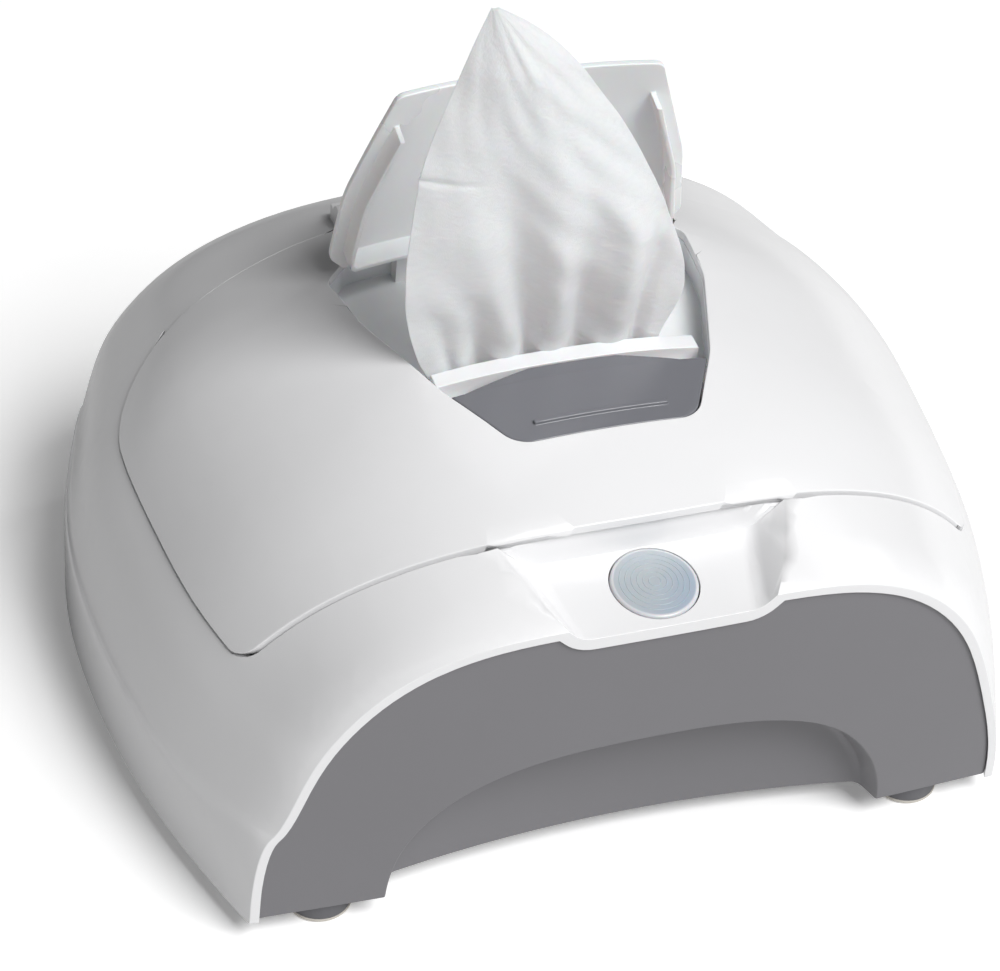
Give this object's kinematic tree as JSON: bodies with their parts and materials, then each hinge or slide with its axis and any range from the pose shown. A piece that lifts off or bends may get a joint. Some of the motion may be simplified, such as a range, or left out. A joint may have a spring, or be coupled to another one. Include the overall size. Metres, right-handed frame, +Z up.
{
  "type": "baby wipe warmer",
  "caption": "Arched baby wipe warmer with a rear-hinged lid, an open clear flip cap over a dispensing slot with one wipe drawn up, a press tab, a round night light button and a grey front cover",
  "frame": {"origin": "centre of the bounding box in plan, at the level of the feet", "axes": "+X across the front to the user's right, +Y from front to rear, +Z up"},
  "size_m": [0.263, 0.191, 0.2295],
  "materials": {
    "shell_white": "glossy white ABS",
    "cover_grey": "satin mid-grey ABS",
    "base_grey": "textured grey ABS",
    "pad_rubber": "pale matt rubber",
    "screw_steel": "zinc-plated steel",
    "tub_white": "satin white polypropylene",
    "heat_aluminium": "rolled aluminium",
    "film_amber": "amber polyimide film",
    "board_green": "green solder mask",
    "component_black": "moulded black plastic",
    "pin_steel": "drawn stainless steel",
    "led_clear": "clear epoxy",
    "lens_frosted": "frosted pale blue-grey polycarbonate",
    "seal_rubber": "soft pale silicone",
    "tray_pale": "glossy pale grey polypropylene",
    "cap_frosted": "translucent frosted polypropylene",
    "tab_grey": "satin mid-grey ABS",
    "wipe_cloth": "white spunlace nonwoven"
  },
  "bodies": {
    "base": {"body_shell": "shell_white", "front_panel": "cover_grey", "base_plate": "base_grey", "foot_pads": "pad_rubber", "base_screws": "screw_steel", "wipe_tub": "tub_white", "heater_plate": "heat_aluminium", "heater_film": "film_amber", "thermostat": "screw_steel", "control_board": "board_green", "board_components": "component_black", "board_screws": "screw_steel", "dc_jack": "component_black", "lid_hinge_pins": "pin_steel", "light_holder": "tub_white", "light_board": "board_green", "light_switch": "component_black", "light_leds": "led_clear"},
    "light_button": {"light_lens": "lens_frosted"},
    "lid": {"lid_shell": "shell_white", "lid_liner": "tub_white", "liner_screws": "screw_steel", "lid_seal": "seal_rubber", "dispensing_tray": "tray_pale", "cap_pin": "pin_steel", "tab_spring": "pin_steel", "wipe": "wipe_cloth"},
    "cap": {"flip_cap": "cap_frosted"},
    "tab": {"release_tab": "tab_grey"}
  },
  "joints": [
    {"name": "lid_hinge", "type": "hinge", "parent": "base", "child": "lid", "pos_m": [0, 0.0752, 0.107], "axis": [-1, 0, 0], "range_deg": [0, 85]},
    {"name": "cap_hinge", "type": "hinge", "parent": "lid", "child": "cap", "pos_m": [0, 0.0495, 0.1115], "axis": [1, 0, 0], "range_deg": [0, 77], "deforming": ["wipe"]},
    {"name": "tab_press", "type": "hinge", "parent": "lid", "child": "tab", "pos_m": [0, -0.022, 0.1106], "axis": [1, 0, 0], "range_deg": [0, 5], "stiffness_Nm_per_rad": 0.5, "deforming": ["tab_spring"]},
    {"name": "light_press", "type": "slide", "parent": "base", "child": "light_button", "axis": [0, 0.1045, -0.9945], "range_m": [0, 0.001], "stiffness_N_per_m": 400}
  ]
}
